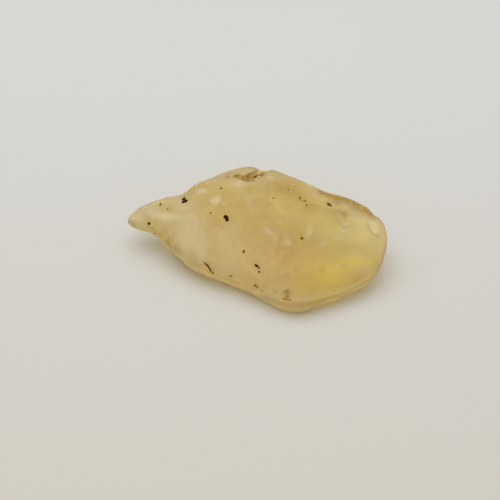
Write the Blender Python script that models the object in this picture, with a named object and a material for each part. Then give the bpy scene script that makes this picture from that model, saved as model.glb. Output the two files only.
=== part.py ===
"""A raw lump of Libyan desert glass, lying on the flat patch of its underside.

The lump is a closed loft. Leaning oval sections run from the blunt beak at -X to the
thick butt end at +X. Broad faces are then ground onto it and flakes are taken off it,
each with a worn edge, as wind-blown sand leaves them. All sizes are in millimetres, and
the last step turns them to metres, with +Z up and the foot on z = 0.
"""

import math
from collections import namedtuple

import bmesh
import bpy
import numpy as np
from mathutils import Vector, noise

MM = 0.001
NODE = "desert_glass"

# Mesh density of the loft: rings of points along X, and points in each ring
BEAK_RINGS = 7
BODY_RINGS = 44
BUTT_RINGS = 8
POINTS_AROUND = 76

# How far the point that closes each end stands out from its last ring
TIP_RISE = 0.05

# The two ends of the lump along X, and how far in from each the section starts to close
BEAK_TIP_X = -23.1
BUTT_END_X = 22.8
BEAK_ROUNDING = 3.4
BUTT_ROUNDING = 4.4

# One section across the lump: where its centre is, its half width along its own leaning
# long axis, its half thickness, how far that axis leans up towards the back (degrees),
# and how square its oval is (2 is an ellipse).
Section = namedtuple("Section", "x y z half_width half_thickness lean squareness")
SECTIONS = (
    Section(-23.1, 17.2, 6.0, 2.0, 1.6, 0.0, 2.0),
    Section(-20.4, 17.3, 6.5, 2.6, 2.1, 0.0, 2.0),
    Section(-17.8, 17.2, 6.6, 3.7, 2.7, 5.0, 2.0),
    Section(-16.0, 16.3, 6.5, 5.1, 3.3, 8.0, 2.0),
    Section(-13.4, 14.8, 6.6, 6.6, 3.9, 10.0, 2.1),
    Section(-10.8, 14.1, 7.1, 8.3, 4.7, 12.0, 2.2),
    Section(-8.2, 14.2, 7.4, 9.6, 5.4, 14.0, 2.3),
    Section(-4.7, 13.9, 7.8, 11.0, 6.3, 16.0, 2.3),
    Section(-1.3, 12.8, 8.1, 11.9, 7.0, 18.0, 2.3),
    Section(2.2, 10.8, 8.3, 12.5, 7.3, 18.0, 2.3),
    Section(5.7, 9.1, 8.0, 12.5, 7.4, 18.0, 2.3),
    Section(9.2, 8.9, 7.5, 11.5, 6.8, 16.0, 2.3),
    Section(12.6, 9.2, 6.9, 10.3, 6.2, 14.0, 2.3),
    Section(16.1, 10.0, 6.8, 9.1, 5.7, 13.0, 2.2),
    Section(19.6, 10.5, 6.7, 7.3, 4.8, 10.0, 2.1),
    Section(22.8, 10.7, 6.6, 6.0, 4.1, 6.0, 2.0),
)

# How many times as thick the lump is below its sections' long axis as above it
BELLY = 1.18

# A broad worn face: the way it faces, a point that it passes through, and how far its
# edge is rounded over by wear.
Face = namedtuple("Face", "facing through wear")
FACES = (
    # The wide front, which slopes down from the ridge, and its left and right lengths
    Face((0.03, -0.67, 0.74), (5.7, -3.1, 3.9), 1.0),
    Face((-0.30, -0.60, 0.74), (-4.7, 2.6, 4.2), 1.0),
    Face((0.36, -0.66, 0.66), (13.0, -0.4, 3.9), 0.6),
    # The shoulder beside the beak
    Face((-0.45, -0.38, 0.80), (-12.4, 10.1, 9.7), 0.5),
    # The strip behind the hollow of the butt end
    Face((0.42, 0.12, 0.90), (14.1, 12.4, 13.4), 0.4),
    # The blunt edge along the foot of the front, in three lengths
    Face((-0.50, -0.83, -0.25), (-1.2, 1.2, 3.2), 0.3),
    Face((0.02, -0.97, -0.25), (5.7, -3.3, 3.2), 0.3),
    Face((0.40, -0.88, -0.25), (13.9, -0.3, 3.2), 0.3),
    # The steep back
    Face((-0.20, 0.95, 0.22), (-4.0, 23.6, 11.0), 0.8),
    Face((0.38, 0.90, 0.20), (10.0, 20.2, 9.0), 0.8),
    # The two slopes of the underside, behind the foot
    Face((0.05, 0.50, -0.86), (-4.0, 18.6, 2.4), 1.0),
    Face((0.50, 0.30, -0.81), (14.0, 12.6, 1.6), 1.0),
)

# A flake scar: the ball that would fit the hollow, by its centre and its three radii,
# and how far the rim is rounded over by wear.
Flake = namedtuple("Flake", "centre radii wear")
FLAKES = (
    # The chip out of the ridge, and the shallow one in front of it
    Flake((0.9, 22.1, 17.4), (2.4, 4.0, 4.0), 0.12),
    Flake((-2.4, 18.4, 19.5), (5.2, 3.6, 4.4), 0.15),
    # The wide hollow on top of the butt end, and the nick at its outer corner
    Flake((18.5, 4.0, 16.9), (13.0, 7.5, 7.5), 0.45),
    Flake((21.0, 15.2, 10.6), (1.6, 1.8, 1.8), 0.1),
    # Hollows round the back and underneath
    Flake((-7.0, 30.5, 12.0), (8.0, 8.4, 7.0), 0.4),
    Flake((8.0, 29.0, 6.0), (8.0, 10.0, 7.0), 0.4),
    Flake((-12.0, 13.0, -5.5), (7.0, 7.0, 8.2), 0.6),
)

# A pit that the wind has drilled: where it is, and how deep. Its rim is this far in from
# the sides of the facet that it takes.
Pit = namedtuple("Pit", "place depth")
PIT_RIM = 0.10
PITS = (
    # Over the front and the beak
    Pit((-12.8, 16.9, 11.0), 0.35),
    Pit((-5.4, 11.8, 11.3), 0.45),
    Pit((-19.1, 14.8, 7.3), 0.25),
    Pit((-6.3, 16.7, 13.9), 0.25),
    Pit((0.0, 4.0, 7.1), 0.35),
    Pit((7.5, 6.3, 11.5), 0.25),
    Pit((4.8, -0.6, 5.0), 0.30),
    Pit((12.4, 12.7, 13.6), 0.35),
    # Over the back
    Pit((-9.0, 22.0, 9.0), 0.35),
    Pit((3.0, 22.0, 11.0), 0.30),
    Pit((14.0, 18.0, 8.0), 0.40),
    Pit((-3.0, 23.0, 6.0), 0.25),
)

# Slow swells left in the surface by the wind: how far apart and how high
SWELLS = ((9.0, 0.30), (4.0, 0.14))

# Everything below this height is the flat patch that the lump rests on
FOOT_HEIGHT = 1.2


def through_sections(values, x):
    """A natural cubic curve through one value of every section, read at each x."""
    xs = np.array([s.x for s in SECTIONS])
    ys = np.array(values, float)
    steps = np.diff(xs)
    count = len(xs)
    system = np.eye(count)
    right = np.zeros(count)
    for i in range(1, count - 1):
        system[i, i - 1 : i + 2] = steps[i - 1], 2 * (steps[i - 1] + steps[i]), steps[i]
        right[i] = 6 * ((ys[i + 1] - ys[i]) / steps[i] - (ys[i] - ys[i - 1]) / steps[i - 1])
    bend = np.linalg.solve(system, right)
    i = np.clip(np.searchsorted(xs, x) - 1, 0, count - 2)
    h = steps[i]
    a = (xs[i + 1] - x) / h
    b = (x - xs[i]) / h
    curved = ((a**3 - a) * bend[i] + (b**3 - b) * bend[i + 1]) * h**2 / 6
    return a * ys[i] + b * ys[i + 1] + curved


def end_rounding(x):
    """The share of its full size that a section has near either end, 0 at the very tip."""
    into_beak = np.clip((x - BEAK_TIP_X) / BEAK_ROUNDING, 0, 1)
    into_butt = np.clip((BUTT_END_X - x) / BUTT_ROUNDING, 0, 1)
    return np.sqrt(1 - (1 - into_beak) ** 2) * np.sqrt(1 - (1 - into_butt) ** 2)


def ring_places():
    """The x of every ring: evenly along the body, and by even turns round the ends."""
    beak_turn = np.linspace(0, math.pi / 2, BEAK_RINGS + 1)[1:]
    butt_turn = np.linspace(math.pi / 2, 0, BUTT_RINGS + 1)[:-1]
    beak = BEAK_TIP_X + BEAK_ROUNDING * (1 - np.cos(beak_turn))
    butt = BUTT_END_X - BUTT_ROUNDING * (1 - np.cos(butt_turn))
    body = np.linspace(beak[-1], butt[0], BODY_RINGS + 2)[1:-1]
    return np.concatenate([beak, body, butt])


def loft():
    """The plain lump as an array of rings of points."""
    x = ring_places()[:, None]
    angle = np.linspace(0, 2 * math.pi, POINTS_AROUND, endpoint=False)[None, :]
    read = {name: through_sections([getattr(s, name) for s in SECTIONS], x) for name in Section._fields}
    size = end_rounding(x)
    power = 2 / read["squareness"]
    across = np.sign(np.cos(angle)) * np.abs(np.cos(angle)) ** power
    across = across * read["half_width"] * size
    upward = np.sign(np.sin(angle)) * np.abs(np.sin(angle)) ** power
    upward = upward * read["half_thickness"] * size * np.where(upward < 0, BELLY, 1.0)
    lean = np.radians(read["lean"])
    y = read["y"] + across * np.cos(lean) - upward * np.sin(lean)
    z = read["z"] + across * np.sin(lean) + upward * np.cos(lean)
    return np.stack([np.broadcast_to(x, y.shape), y, z], axis=-1)


def above(distance, wear):
    """The part of a distance that is over 0, with the step at 0 rounded by the wear."""
    return (distance + np.sqrt(distance**2 + wear**2)) / 2


def grind(points, face):
    """Takes off what stands in front of a face."""
    facing = np.array(face.facing) / np.linalg.norm(face.facing)
    proud = (points - np.array(face.through)) @ facing
    return points - above(proud, face.wear)[..., None] * facing


def strike(points, flake):
    """Takes off what lies inside a flake's ball, and leaves its hollow."""
    centre = np.array(flake.centre)
    radii = np.array(flake.radii)
    offset = (points - centre) / radii
    reach = np.linalg.norm(offset, axis=-1, keepdims=True)
    wear = flake.wear / radii.mean()
    return centre + offset / reach * (1 + above(reach - 1, wear)) * radii


def swell(points):
    """The height of the slow swells at each point."""
    height = np.zeros(points.shape[:-1])
    for spacing, amount in SWELLS:
        for index in np.ndindex(height.shape):
            height[index] += amount * noise.noise(Vector(points[index] / spacing))
    return height


def outward(points):
    """The way the loft's surface faces at each point."""
    around = np.roll(points, -1, axis=1) - np.roll(points, 1, axis=1)
    along = np.gradient(points, axis=0)
    facing = np.cross(along, around)
    return -facing / np.linalg.norm(facing, axis=-1, keepdims=True)


def shaped_rings():
    """The loft after its faces, flakes, swells and foot are worked into it."""
    points = loft()
    for face in FACES:
        points = grind(points, face)
    for flake in FLAKES:
        points = strike(points, flake)
    points = points + swell(points)[..., None] * outward(points)
    points[..., 2] = np.maximum(points[..., 2], FOOT_HEIGHT)
    return points


def bridge(bm, rings):
    """Closes the rings into one skin: a band between each two, and a point at either end."""
    loops = [[bm.verts.new(point) for point in ring] for ring in rings]
    for first, second in zip(loops, loops[1:]):
        for i in range(POINTS_AROUND):
            j = (i + 1) % POINTS_AROUND
            bm.faces.new((first[i], first[j], second[j], second[i]))
    beak = bm.verts.new(rings[0].mean(axis=0) - np.array((TIP_RISE, 0, 0)))
    butt = bm.verts.new(rings[-1].mean(axis=0) + np.array((TIP_RISE, 0, 0)))
    for i in range(POINTS_AROUND):
        j = (i + 1) % POINTS_AROUND
        bm.faces.new((loops[0][j], loops[0][i], beak))
        bm.faces.new((loops[-1][i], loops[-1][j], butt))


def sink(bm, pit):
    """Turns the facet nearest to a pit's place into a small square hole."""
    place = Vector(pit.place)
    facet = min(bm.faces, key=lambda face: (face.calc_center_median() - place).length)
    bmesh.ops.inset_individual(bm, faces=[facet], thickness=PIT_RIM, depth=-pit.depth)


def stand(bm):
    """Puts the foot on z = 0 under the middle of the lump's box, and turns mm to metres."""
    points = np.array([vert.co for vert in bm.verts])
    middle = (points.min(axis=0) + points.max(axis=0)) / 2
    bmesh.ops.translate(bm, verts=bm.verts, vec=(-middle[0], -middle[1], -FOOT_HEIGHT))
    bmesh.ops.scale(bm, verts=bm.verts, vec=(MM, MM, MM))


def desert_glass_mesh():
    bm = bmesh.new()
    bridge(bm, shaped_rings())
    for pit in PITS:
        sink(bm, pit)
    stand(bm)
    mesh = bpy.data.meshes.new(NODE)
    bm.to_mesh(mesh)
    bm.free()
    mesh.shade_smooth()
    return mesh


def glass_material():
    """Frosted straw-yellow silica glass."""
    material = bpy.data.materials.new("frosted_silica_glass")
    material.use_nodes = True
    shader = material.node_tree.nodes["Principled BSDF"]
    shader.inputs["Base Color"].default_value = (0.72, 0.56, 0.24, 1.0)
    shader.inputs["Roughness"].default_value = 0.5
    shader.inputs["Metallic"].default_value = 0.0
    shader.inputs["IOR"].default_value = 1.46
    shader.inputs["Transmission Weight"].default_value = 0.8
    return material


def main():
    for obj in list(bpy.data.objects):
        bpy.data.objects.remove(obj)
    lump = bpy.data.objects.new(NODE, desert_glass_mesh())
    lump.data.materials.append(glass_material())
    bpy.context.scene.collection.objects.link(lump)


main()
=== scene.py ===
"""A raw lump of desert glass on a pale table.

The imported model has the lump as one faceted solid. Here it is made again in the same place
with a much finer skin, from the same sections, worn faces and flake scars. It then gets
what the eye looks for: pits with dirt in them, a stained chip out of the ridge, a hairline
crack, wind-drilled dimples all over, and the satin see-through glass itself.
Sizes are in millimetres until a mesh is made, and meshes are in metres.
"""

import math
from collections import namedtuple

import bmesh
import bpy
import numpy as np
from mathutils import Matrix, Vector, noise
from mathutils.bvhtree import BVHTree


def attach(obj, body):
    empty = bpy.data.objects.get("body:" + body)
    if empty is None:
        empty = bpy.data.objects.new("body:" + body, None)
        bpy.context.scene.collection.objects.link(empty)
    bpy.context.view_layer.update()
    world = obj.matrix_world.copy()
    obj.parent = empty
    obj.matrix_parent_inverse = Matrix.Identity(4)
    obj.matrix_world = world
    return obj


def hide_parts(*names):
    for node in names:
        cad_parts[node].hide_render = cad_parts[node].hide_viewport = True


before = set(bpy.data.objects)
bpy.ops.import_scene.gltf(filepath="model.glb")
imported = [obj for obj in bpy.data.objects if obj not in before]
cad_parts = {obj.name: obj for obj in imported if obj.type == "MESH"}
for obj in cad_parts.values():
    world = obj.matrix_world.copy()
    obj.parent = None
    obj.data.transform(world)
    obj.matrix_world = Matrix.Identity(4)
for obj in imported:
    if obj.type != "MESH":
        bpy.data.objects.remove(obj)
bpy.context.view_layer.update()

MM = 0.001
NODE = "desert_glass"

# The photograph is square, and the lens is a usual one for small things
PICTURE_WIDTH = 500
LENS = 85.0
SENSOR = 36.0

# How far down the camera looks (degrees), how far off it is, and the point it looks at
CAMERA_HEIGHT_ANGLE = 42.0
CAMERA_REACH = 205.5
CAMERA_AIM = np.array((-1.02, -1.22, 4.4))

# The camera's own forward, upward and sideways directions
TILT = math.radians(CAMERA_HEIGHT_ANGLE)
FORWARD = np.array((0.0, math.cos(TILT), -math.sin(TILT)))
UPWARD = np.array((0.0, math.sin(TILT), math.cos(TILT)))
SIDEWAYS = np.array((1.0, 0.0, 0.0))
CAMERA_PLACE = CAMERA_AIM - CAMERA_REACH * FORWARD

# How many pixels wide a thing is that is as wide as it is far away, and how many
# millimetres one pixel spans at the lump
PIXELS_PER_SLOPE = PICTURE_WIDTH * LENS / SENSOR
PIXEL = CAMERA_REACH / PIXELS_PER_SLOPE

# Where along a line of sight that misses the lump the spot nearest to it is looked for
BEAM_SEARCH = np.arange(-30, 30, 0.5) + CAMERA_REACH

# The lump's skin is rings of points: how many rings there are round the beak, along the
# body and round the butt end, and how many points in each
BEAK_RINGS = 18
BODY_RINGS = 168
BUTT_RINGS = 24
POINTS_AROUND = 256

# Where the two ends are, over what length each is rounded, and how far the point that
# closes it stands out
BEAK_TIP_X = -23.1
BUTT_END_X = 22.8
BEAK_ROUNDING = 3.4
BUTT_ROUNDING = 4.4
TIP_RISE = 0.05

# The sections that the lump is lofted through: where each has its middle, half its width
# and thickness, how far it leans (degrees), and how square it is, from 2 for an oval
Section = namedtuple("Section", "x y z half_width half_thickness lean squareness")
SECTIONS = [Section(*row) for row in (
    (-23.1, 17.2, 6, 2, 1.6, 0, 2),
    (-20.4, 17.3, 6.5, 2.6, 2.1, 0, 2),
    (-17.8, 17.2, 6.6, 3.7, 2.7, 5, 2),
    (-16, 16.3, 6.5, 5.1, 3.3, 8, 2),
    (-13.4, 14.8, 6.6, 6.6, 3.9, 10, 2.1),
    (-10.8, 14.1, 7.1, 8.3, 4.7, 12, 2.2),
    (-8.2, 14.2, 7.4, 9.6, 5.4, 14, 2.3),
    (-4.7, 13.9, 7.8, 11, 6.3, 16, 2.3),
    (-1.3, 12.8, 8.1, 11.9, 7, 18, 2.3),
    (2.2, 10.8, 8.3, 12.5, 7.3, 18, 2.3),
    (5.7, 9.1, 8, 12.5, 7.4, 18, 2.3),
    (9.2, 8.9, 7.5, 11.5, 6.8, 16, 2.3),
    (12.6, 9.2, 6.9, 10.3, 6.2, 14, 2.3),
    (16.1, 10, 6.8, 9.1, 5.7, 13, 2.2),
    (19.6, 10.5, 6.7, 7.3, 4.8, 10, 2.1),
    (22.8, 10.7, 6.6, 6, 4.1, 6, 2),
)]

# How much thicker a section is below its middle than above it
BELLY = 1.18

# The broad faces that the sand has ground: which way each faces, a point that it passes
# through, and how far its edges are rounded
Face = namedtuple("Face", "facing through wear")
FACES = [Face(*row) for row in (
    ((0.03, -0.67, 0.74), (5.7, -3.1, 3.9), 1),
    ((-0.30, -0.60, 0.74), (-4.7, 2.6, 4.2), 1),
    ((0.36, -0.66, 0.66), (13, -0.4, 3.9), 0.6),
    ((-0.45, -0.38, 0.80), (-12.4, 10.1, 9.7), 0.5),
    ((0.42, 0.12, 0.90), (14.1, 12.4, 13.4), 0.4),
    ((-0.50, -0.83, -0.25), (-1.2, 1.2, 3.2), 0.3),
    ((0.02, -0.97, -0.25), (5.7, -3.3, 3.2), 0.3),
    ((0.40, -0.88, -0.25), (13.9, -0.3, 3.2), 0.3),
    ((-0.20, 0.95, 0.22), (-4, 23.6, 11), 0.8),
    ((0.38, 0.90, 0.20), (10, 20.2, 9), 0.8),
    ((0.05, 0.50, -0.86), (-4, 18.6, 2.4), 1),
    ((0.50, 0.30, -0.81), (14, 12.6, 1.6), 1),
)]

# The hollows that flakes have left: the middle and radii of the ball that fits each, and
# how far its rim is rounded
Flake = namedtuple("Flake", "centre radii wear")
FLAKES = [Flake(*row) for row in (
    ((0.9, 22.1, 17.4), (2.4, 4, 4), 0.12),
    ((-2.4, 18.4, 19.5), (5.2, 3.6, 4.4), 0.15),
    ((18.5, 4, 16.9), (13, 7.5, 7.5), 0.45),
    ((21, 15.2, 10.6), (1.6, 1.8, 1.8), 0.1),
    ((-7, 30.5, 12), (8, 8.4, 7), 0.4),
    ((8, 29, 6), (8, 10, 7), 0.4),
    ((-12, 13, -5.5), (7, 7, 8.2), 0.6),
)]

# Slow swells of the skin: how far apart and how high
SWELLS = ((9.0, 0.30), (4.0, 0.14))

# The lump is cut off at this height, on a patch that is flat in the model. Here the patch
# has shallow hollows, up to FOOT_HOLLOWS high and FOOT_SPACING apart. They fade out towards
# its rim, where less than FOOT_RIM is cut off. FOOT_BIAS widens them, and FOOT_CALM of their
# height is gone past CALM_FROM_X, towards the butt end.
FOOT_HEIGHT = 1.2
FOOT_HOLLOWS = 1.0
FOOT_SPACING = 3.4
FOOT_RIM = 0.6
FOOT_BIAS = 0.2
FOOT_CALM = 0.75
CALM_FROM_X = 10.5

# A mark that the photograph shows: the pixel where its middle is, how long and how wide
# it is in pixels, how far its length is turned up from level (degrees), and how much of
# it there is
Mark = namedtuple("Mark", "pixel length width turn amount")


def mark_rows(*rows):
    """Marks from rows of their numbers, the first two of which are the pixel."""
    return [Mark(row[:2], *row[2:]) for row in rows]


# Pits full of dirt. The amount is the depth in millimetres.
BLACK_PITS = mark_rows(
    (183.7, 198.7, 3.6, 3.4, 0, 0.4),
    (185.7, 200.8, 3.1, 3.3, 0, 0.35),
    (183.4, 201.5, 3.3, 3.1, 0, 0.35),
    (225.6, 216.9, 4.6, 3.6, -10, 0.55),
    (226.7, 219.4, 3.8, 3.8, -40, 0.5),
    (148.8, 223.7, 2.9, 2.7, 0, 0.4),
    (256.4, 265.7, 4.6, 2.3, -30, 0.4),
    (258.8, 267.9, 2.8, 1.3, -62, 0.25),
)
BROWN_PITS = mark_rows(
    (329.5, 204.4, 5.4, 2.5, -42, 0.4),
    (221, 188.1, 2, 1.8, 0, 0.22),
    (160.3, 204.1, 3.2, 1.5, 80, 0.25),
    (210.5, 212.8, 2.2, 1.2, 90, 0.15),
    (243.5, 251.4, 3.4, 2.1, 60, 0.3),
    (258.9, 271.8, 2.1, 1.9, 0, 0.25),
    (230.8, 276.3, 3, 1.3, 5, 0.2),
    (255.2, 285.5, 2.9, 1.4, 5, 0.25),
    (257.3, 287.5, 1.8, 1.3, -20, 0.2),
    (273.3, 198.4, 1.5, 1.5, 0, 0.18),
    (288.8, 189.4, 1.4, 1.2, 0, 0.12),
    (301.9, 238.3, 2.5, 2.4, 0, 0.3),
    (300, 198, 1.9, 1.5, -30, 0.18),
    (305.3, 200.7, 1.9, 1.3, -30, 0.18),
    (306.8, 205.2, 1.6, 1.3, 0, 0.15),
    (154.8, 233.6, 2.2, 1.2, -15, 0.2),
    (167.2, 208.8, 1.4, 1.2, 0, 0.12),
    (212.8, 273, 1.6, 2, 70, 0.22),
)

# Pits on the sides that the photograph doesn't show: the place on the lump, and the
# length, width (mm), turn and depth
HiddenPit = namedtuple("HiddenPit", "place length width turn depth")
HIDDEN_PITS = [HiddenPit(*row) for row in (
    ((-9, 22, 9), 0.8, 0.6, 30, 0.45),
    ((3, 22, 11), 0.65, 0.5, 0, 0.35),
    ((14, 18, 8), 0.9, 0.7, 70, 0.5),
    ((-3, 23, 6), 0.5, 0.45, 0, 0.3),
    ((8, 20, 4.5), 0.55, 0.35, 20, 0.3),
    ((20.5, 13, 5), 0.5, 0.45, 0, 0.3),
    ((-16, 20, 8), 0.45, 0.4, 0, 0.25),
    ((9.5, 4.5, 1.2), 0.9, 0.8, 0, 0.5),
    ((4, 6.5, 1.2), 0.8, 0.6, 30, 0.4),
    ((-12, 12, 3), 0.6, 0.45, 45, 0.3),
)]

# Cracks with dirt along them: the pixels that they pass, and how wide each is at its
# middle, in pixels. The first is the long hairline, and the rest are the steps in the chip.
Crack = namedtuple("Crack", "pixels width")
CRACKS = (
    Crack(((203.6, 262.4), (206.9, 264.9), (209.1, 267.8), (210.4, 270.5), (210.6, 273)), 1.55),
    Crack(((246, 175), (248.8, 174.2), (251.2, 173)), 0.7),
    Crack(((245.6, 176.6), (247, 176.9), (248.6, 176.6)), 1),
    Crack(((253.6, 177.6), (255.3, 176.6), (257.2, 175.2)), 1.5),
    Crack(((260, 176.4), (262.5, 175.3), (264.6, 174.4)), 0.7),
    Crack(((226.6, 177.4), (227.9, 177.2), (229.2, 177.2)), 0.6),
)

# The small scars that step down inside the chip, and one nick on the butt end. The length is
# across the rim in pixels, the amount is the depth in millimetres, and SCAR_WEAR is how far
# the rim is rounded.
CHIP_SCARS = mark_rows(
    (238, 176.6, 9.5, 9.5, 0, 0.22),
    (246, 178.2, 11.5, 11.5, 0, 0.48),
    (253.6, 176.6, 9.5, 9.5, 0, 0.52),
    (260.6, 175.6, 8.5, 8.5, 0, 0.34),
    (246.2, 172.6, 7, 7, 0, 0.16),
    (373.4, 214.6, 7, 7, 0, 0.34),
)
SCAR_WEAR = 0.03

# Low humps. The amount is the height in millimetres.
HUMPS = mark_rows(
    (198, 186, 32, 18, 38, 0.38),
    (346, 200, 80, 14, -20, 0.14),
    (308, 184, 50, 12, -24, 0.08),
    (381, 224, 16, 12, -55, 0.26),
)

# Shallow dishes with a crisp rim, where flakes and crumbs have left the surface. The amount
# is the depth in millimetres.
DISHES = mark_rows(
    (373.4, 227, 15.5, 9, -58, 0.32),
    (343.6, 228.8, 7, 5.5, 35, 0.2),
    (346, 221.8, 4, 7, -20, 0.12),
    (351.5, 226.5, 7, 6, 0, 0.1),
    (303, 198.7, 8.5, 5, -20, 0.12),
    (217.4, 199.5, 6, 6.5, 60, 0.1),
    (212, 201.4, 4.5, 4, 0, 0.08),
    (154, 210, 10, 4, 25, 0.1),
    (175, 239.5, 6, 5, 0, 0.1),
    (268.5, 230.5, 15, 5, -38, 0.1),
    (287, 241.5, 9, 8, 0, 0.1),
    (309.5, 231.5, 4.5, 12, -15, 0.08),
    (238, 184, 11, 5, 0, 0.1),
    (270.5, 177.5, 8, 4.5, -20, 0.12),
)

# Iron stain, and darker amber over the top of the body and the butt end: up to a half it is
# amber, and from there to 1 it is brown
STAINS = mark_rows(
    (236.8, 176.4, 10, 5, 0, 0.74),
    (243, 178.6, 9, 4, -30, 0.66),
    (248.5, 179.8, 14, 4.4, 0, 0.78),
    (255, 178, 6, 4.5, 40, 0.7),
    (250.5, 175.6, 12, 5, 20, 0.55),
    (262.8, 174, 8, 1.8, 30, 0.45),
    (250, 178.8, 17, 6, 0, 0.6),
    (255, 171.2, 6, 2.4, 10, 0.6),
    (227.8, 177, 5, 2.4, 0, 0.6),
    (286.6, 292.2, 9, 7, 0, 0.58),
    (286.9, 296.4, 5.8, 6, 0, 0.6),
    (286.3, 299.2, 8.4, 2.6, -8, 0.3),
    (262, 291, 3, 3, 0, 0.45),
    (168.6, 242.6, 14, 20, 30, 0.42),
    (176.4, 249, 15, 12, -40, 0.38),
    (160.6, 235, 10, 6, -30, 0.42),
    (165.5, 233, 11, 16, 30, 0.34),
    (133, 224, 6, 4, -20, 0.4),
    (139, 208, 9, 3, 35, 0.4),
    (152, 228.5, 12, 4, -20, 0.3),
    # These darken the top of the body and the butt end towards its upper edge
    (337, 202, 22, 9, -20, 0.4),
    (358, 209, 34, 12, -32, 0.42),
    (343.8, 213.8, 14, 12, 0, 0.46),
    (334, 212, 40, 18, -15, 0.32),
    (311, 206, 30, 15, -15, 0.36),
    (288, 189, 60, 24, -22, 0.4),
    (225, 176, 34, 7, 18, 0.25),
    (356, 279.5, 32, 8, 22, 0.24),
    (377.5, 266, 9, 20, -28, 0.24),
    (301, 253, 10, 8, 0, 0.15),
    (303, 198.7, 9, 6, -20, 0.25),
    (345.5, 220.9, 1.5, 1.3, 0, 0.8),
    (329.5, 204.5, 9, 6, -40, 0.4),
    (211, 263.4, 3, 2.6, 0, 0.35),
    (212.6, 271, 2.2, 6, 0, 0.35),
    (295, 269.5, 7, 6, 0, 0.18),
    (322.3, 270.3, 7, 6, 0, 0.18),
    (343.9, 266.2, 7, 6, 0, 0.18),
)

# Pale spots: milky glass full of the smallest bubbles, and painted light with it: sheen where the
# scoop and other upward faces catch the light, and glow low on the front
CLOUDS_AND_PAINTED_LIGHT = mark_rows(
    (217.4, 199.3, 5.6, 6, 60, 0.75),
    (212, 201.2, 4.4, 4, 0, 0.65),
    (215, 203.6, 6, 3.4, 0, 0.45),
    (199, 191.8, 4, 4, 0, 0.5),
    (204.2, 191.5, 4, 4, 0, 0.5),
    (153, 210.5, 12, 7, 10, 0.35),
    (168, 216.5, 38, 8, -5, 0.65),
    (193, 219, 18, 12, -30, 0.5),
    (188, 234, 38, 48, 0, 0.42),
    (200, 245, 20, 40, 0, 0.34),
    (174.7, 239, 5, 5, 0, 0.5),
    (186.8, 250, 6, 5, 0, 0.5),
    (204, 236.5, 5, 6, 0, 0.35),
    (222, 232.5, 5, 5, 0, 0.32),
    (268.5, 230.5, 15, 5, -38, 0.38),
    (287, 241.5, 8, 8, 0, 0.4),
    (309.5, 231.5, 4, 12, -15, 0.38),
    (238, 184, 10, 5, 0, 0.35),
    (270, 177.5, 8, 4, -20, 0.4),
    (250, 205, 5, 20, 25, 0.25),
    # Painted sheen where the scoop's upward faces catch the light
    (343.4, 228.6, 6.5, 5.5, 30, 1.0),
    (341.6, 226.4, 3.6, 3, 30, 0.8),
    (346, 222, 3.4, 8, -30, 0.6),
    (351, 220, 5, 5, 0, 0.3),
    (373.4, 226.6, 10, 15, 35, 0.95),
    # Broad painted glow low on the front and the butt end, among smaller pale spots
    (362, 234, 44, 26, 0, 0.27),
    (232, 254, 70, 56, 0, 0.22),
    (136, 217, 16, 14, 0, 0.35),
    (245.8, 171.8, 5, 2.6, 0, 0.45),
    (357, 261, 54, 18, 6, 0.26),
)

# Painted glow: a brighter yellow where light gathers in the glass, low on the front and round
# the butt end, and in one patch high on the body
PAINTED_GLOW = mark_rows(
    (354, 261, 58, 18, 6, 0.8),
    (372, 260, 24, 18, 30, 0.76),
    (330, 274, 110, 50, 10, 0.65),
    (300, 200, 100, 46, -15, 0.6),
    (362, 236, 50, 34, 0, 0.45),
)

# Long marks: the pixels that they pass, how wide they are in pixels, and how much of the
# mark there is. The pale ones are painted highlights where edges that the sand has bruised
# catch the light, low along the front and over the scoop. The brown ones are in the chip,
# round the small scars, along the ridge of the butt end, and low on the front, where a broad
# one is painted shade on the band under the front edge, which faces down to the table.
Streak = namedtuple("Streak", "pixels width amount")
LOW_FRONT_EDGE = (
    (188, 265.5), (200, 271.5), (212.6, 275.8), (229.7, 281), (248.7, 287.8),
    (267.2, 294.3), (285.7, 300.2), (304.2, 300.7), (322.7, 297), (341.2, 291.5),
    (355, 285.5), (368.9, 278.5), (377, 271.5),
)
SCOOP_EDGE = ((323, 205), (336, 206.5), (348, 205.5), (351, 208), (358.8, 213), (364.6, 217.3))
# Painted highlights along the low front edge and the scoop's edge, where they catch the light
PAINTED_EDGE_HIGHLIGHTS = (Streak(LOW_FRONT_EDGE, 1.2, 0.28), Streak(SCOOP_EDGE, 1.4, 0.36))
# Painted shade on the band under the front edge, which faces down to the table
SHADED_FRONT_BAND = ((264, 298), (275, 302), (286, 305), (304, 306), (323, 302), (350, 293))
BUTT_RIDGE = ((322, 193), (332, 197), (346.7, 200.8), (357.8, 205), (366, 209.6), (370.5, 214.5))
RING_LOW = ((299.2, 196.9), (299.2, 198.6), (300.8, 199.9), (303, 200.6), (305.4, 200.9))
RING_HIGH = ((299.2, 196.9), (301.6, 196.3), (304.4, 197.1), (306.4, 199), (305.4, 200.9))
BROWN_STREAKS = (
    Streak(((245.4, 175.2), (248.8, 174), (251.7, 172.6), (254.4, 172)), 0.9, 0.9),
    Streak(((233.4, 176), (236.6, 174.6), (240.2, 175.9)), 0.9, 0.8),
    Streak(((238.5, 178.6), (243.5, 180.6), (249, 181.4), (254, 180.2)), 1.3, 0.75),
    Streak(((257.5, 175.8), (261, 174), (265.4, 172.6)), 0.8, 0.85),
    Streak(((282.7, 298.6), (286.4, 299.3), (290.2, 300)), 1, 0.78),
    # Painted shade under the front edge
    Streak(SHADED_FRONT_BAND, 5, 0.22),
    Streak(RING_LOW, 0.9, 0.85),
    Streak(RING_HIGH, 0.8, 0.62),
    Streak(BUTT_RIDGE, 9, 0.5),
    Streak(((366.8, 222), (369, 229.5), (374, 235), (378, 236.2)), 1.5, 0.28),
)

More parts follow.
